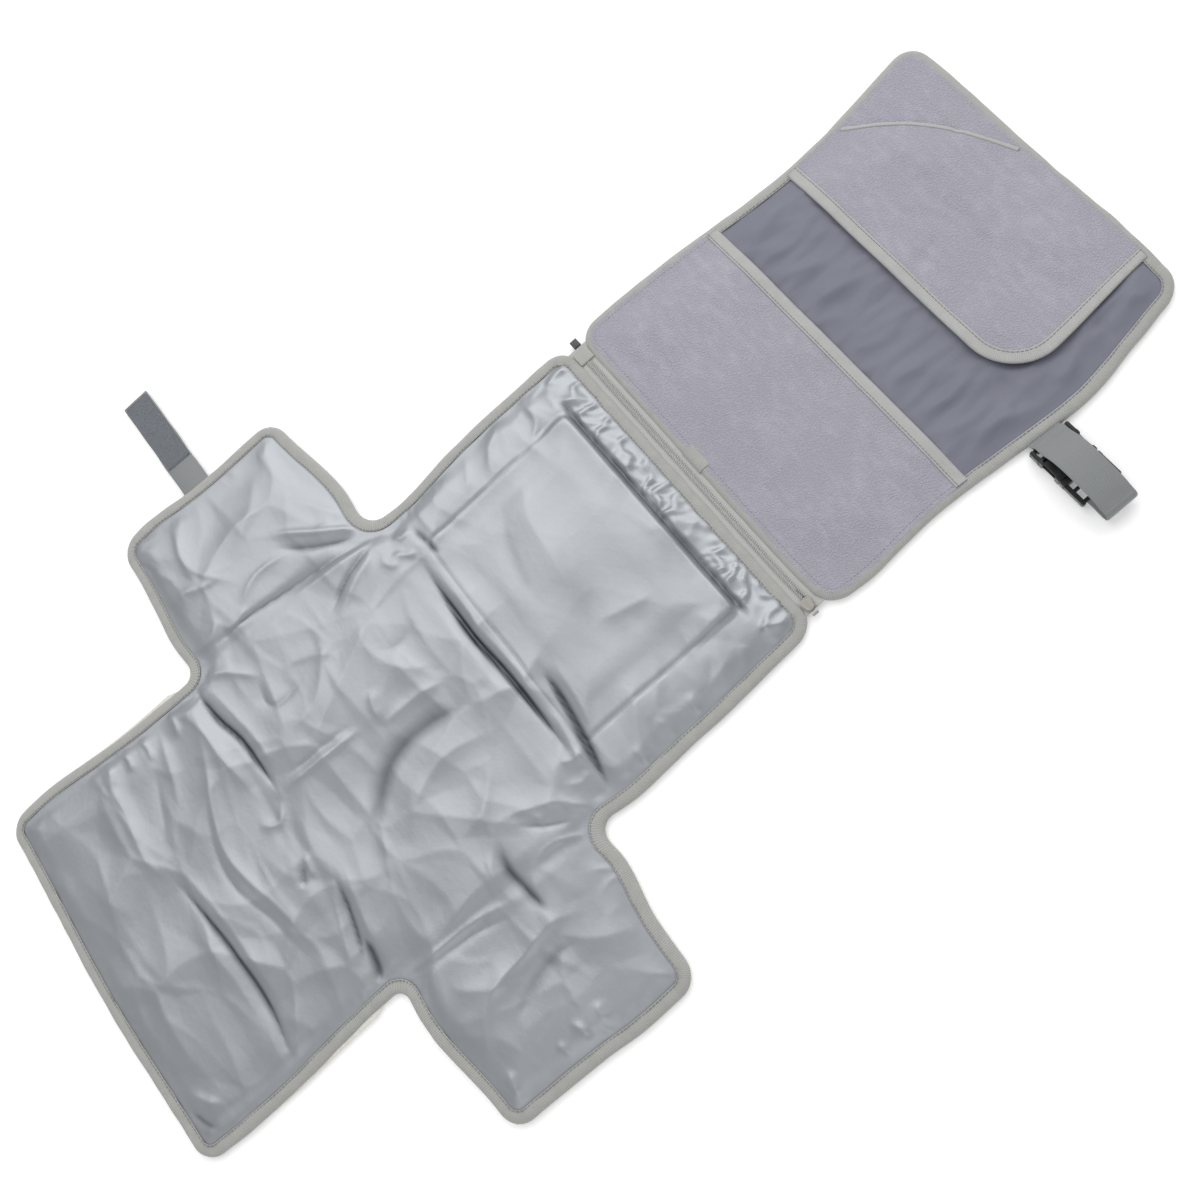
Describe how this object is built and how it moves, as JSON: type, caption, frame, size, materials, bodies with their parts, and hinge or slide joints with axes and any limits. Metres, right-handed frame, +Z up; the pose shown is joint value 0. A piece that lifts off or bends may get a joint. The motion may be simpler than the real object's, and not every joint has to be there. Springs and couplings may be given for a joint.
{
  "type": "changing pad",
  "caption": "Fold-out baby changing pad: padded mat with two side wings and a raised head rest, zipped to a folding clutch with pockets, a hanging strap and a hook tab.",
  "frame": {"origin": "on the flat underside, midway between the free end of the mat and the far edge of the clutch, on the centre line between the side edges", "axes": "+Z up; +X across the pad along the zipper, towards the hanging strap; +Y along the pad, from the mat towards the clutch"},
  "size_m": [0.649, 0.919, 0.021],
  "materials": {
    "silver_cloth": "satin metallic coated cloth",
    "edge_tape": "ribbed binding tape",
    "foam": "soft foam",
    "terry": "short looped terry",
    "lining": "smooth woven nylon",
    "shell_cloth": "woven outer cloth",
    "zip_tape": "woven tape",
    "zip_coil": "nylon coil",
    "zip_trim": "moulded plastic",
    "zip_metal": "plated metal",
    "hook_patch": "hook tape",
    "webbing": "ribbed webbing",
    "buckle_plastic": "moulded black plastic"
  },
  "bodies": {
    "clutch_base": {"clutch_base_shell": "shell_cloth", "clutch_base_foam": "foam", "clutch_base_lining": "lining", "clutch_base_binding": "edge_tape", "lower_pocket": "terry", "lower_pocket_edging": "edge_tape", "zip_tape_clutch_side": "zip_tape", "zip_tape_mat_side": "zip_tape", "zip_coil_clutch_side": "zip_coil", "zip_coil_mat_side": "zip_coil", "zip_end_fold": "edge_tape", "zip_pin_box": "zip_trim", "zip_end_stop": "zip_trim"},
    "clutch_flap": {"clutch_flap_shell": "shell_cloth", "clutch_flap_foam": "foam", "clutch_flap_lining": "lining", "clutch_flap_binding": "edge_tape", "flap_pocket": "terry", "flap_pocket_edging": "edge_tape", "flap_pocket_back_layer": "terry"},
    "mat_head": {"mat_head_foam": "foam", "mat_head_top_cover": "silver_cloth", "mat_head_back_cover": "silver_cloth", "mat_head_binding": "edge_tape", "mat_head_pillow_foam": "foam"},
    "mat_centre": {"mat_centre_foam": "foam", "mat_centre_top_cover": "silver_cloth", "mat_centre_back_cover": "silver_cloth"},
    "mat_foot": {"mat_foot_foam": "foam", "mat_foot_top_cover": "silver_cloth", "mat_foot_back_cover": "silver_cloth", "mat_foot_binding": "edge_tape"},
    "left_wing": {"left_wing_foam": "foam", "left_wing_top_cover": "silver_cloth", "left_wing_back_cover": "silver_cloth", "left_wing_binding": "edge_tape"},
    "right_wing": {"right_wing_foam": "foam", "right_wing_top_cover": "silver_cloth", "right_wing_back_cover": "silver_cloth", "right_wing_binding": "edge_tape"},
    "hook_tab": {"hook_tab_webbing": "webbing", "hook_tab_patch": "hook_patch"},
    "zip_slider": {"zip_slider": "zip_metal"},
    "zip_pull": {"zip_pull": "zip_metal"},
    "strap": {"strap_anchor": "webbing", "strap_upper": "webbing", "buckle_socket": "buckle_plastic"},
    "buckle_tongue": {"strap_return": "webbing", "buckle_plate": "buckle_plastic"},
    "buckle_prong_near": {"buckle_prong_near": "buckle_plastic"},
    "buckle_prong_far": {"buckle_prong_far": "buckle_plastic"}
  },
  "joints": [
    {"name": "flap_fold", "type": "hinge", "parent": "clutch_base", "child": "clutch_flap", "pos_m": [0, 0.3025, 0.0316], "axis": [1, 0, 0], "range_deg": [0, 180]},
    {"name": "mat_fold", "type": "hinge", "parent": "clutch_base", "child": "mat_head", "pos_m": [0, 0.1245, 0.0245], "axis": [-1, 0, 0], "range_deg": [0, 180]},
    {"name": "head_fold", "type": "hinge", "parent": "mat_head", "child": "mat_centre", "pos_m": [0, -0.0735, 0.0174], "axis": [-1, 0, 0], "range_deg": [0, 180]},
    {"name": "foot_fold", "type": "hinge", "parent": "mat_centre", "child": "mat_foot", "pos_m": [0, -0.2705, 0.0114], "axis": [-1, 0, 0], "range_deg": [0, 180]},
    {"name": "left_wing_fold", "type": "hinge", "parent": "mat_centre", "child": "left_wing", "pos_m": [-0.14, -0.1715, 0.0079], "axis": [0, 1, 0], "range_deg": [0, 180]},
    {"name": "right_wing_fold", "type": "hinge", "parent": "mat_centre", "child": "right_wing", "pos_m": [0.14, -0.1715, 0.0079], "axis": [0, -1, 0], "range_deg": [0, 180]},
    {"name": "tab_fold", "type": "hinge", "parent": "left_wing", "child": "hook_tab", "pos_m": [-0.2732, -0.1755, 0.0058], "axis": [0, 1, 0], "range_deg": [0, 180]},
    {"name": "zip_slide", "type": "slide", "parent": "clutch_base", "child": "zip_slider", "axis": [-1, 0, 0], "range_m": [0, 0.24]},
    {"name": "pull_swing", "type": "hinge", "parent": "zip_slider", "child": "zip_pull", "pos_m": [0.1315, 0.1245, 0.0008], "axis": [0, -1, 0], "range_deg": [0, 160]},
    {"name": "strap_swing", "type": "hinge", "parent": "clutch_flap", "child": "strap", "pos_m": [0.148, 0.3175, 0.0058], "axis": [0, 1, 0], "range_deg": [-120, 0]},
    {"name": "buckle_slide", "type": "slide", "parent": "strap", "child": "buckle_tongue", "axis": [1, 0, 0], "range_m": [0, 0.02]},
    {"name": "prong_near_squeeze", "type": "hinge", "parent": "buckle_tongue", "child": "buckle_prong_near", "pos_m": [0.178, 0.3045, 0.0052], "axis": [0, 0, -1], "range_deg": [0, 7]},
    {"name": "prong_far_squeeze", "type": "hinge", "parent": "buckle_tongue", "child": "buckle_prong_far", "pos_m": [0.178, 0.3305, 0.0052], "axis": [0, 0, 1], "range_deg": [0, 7]}
  ]
}
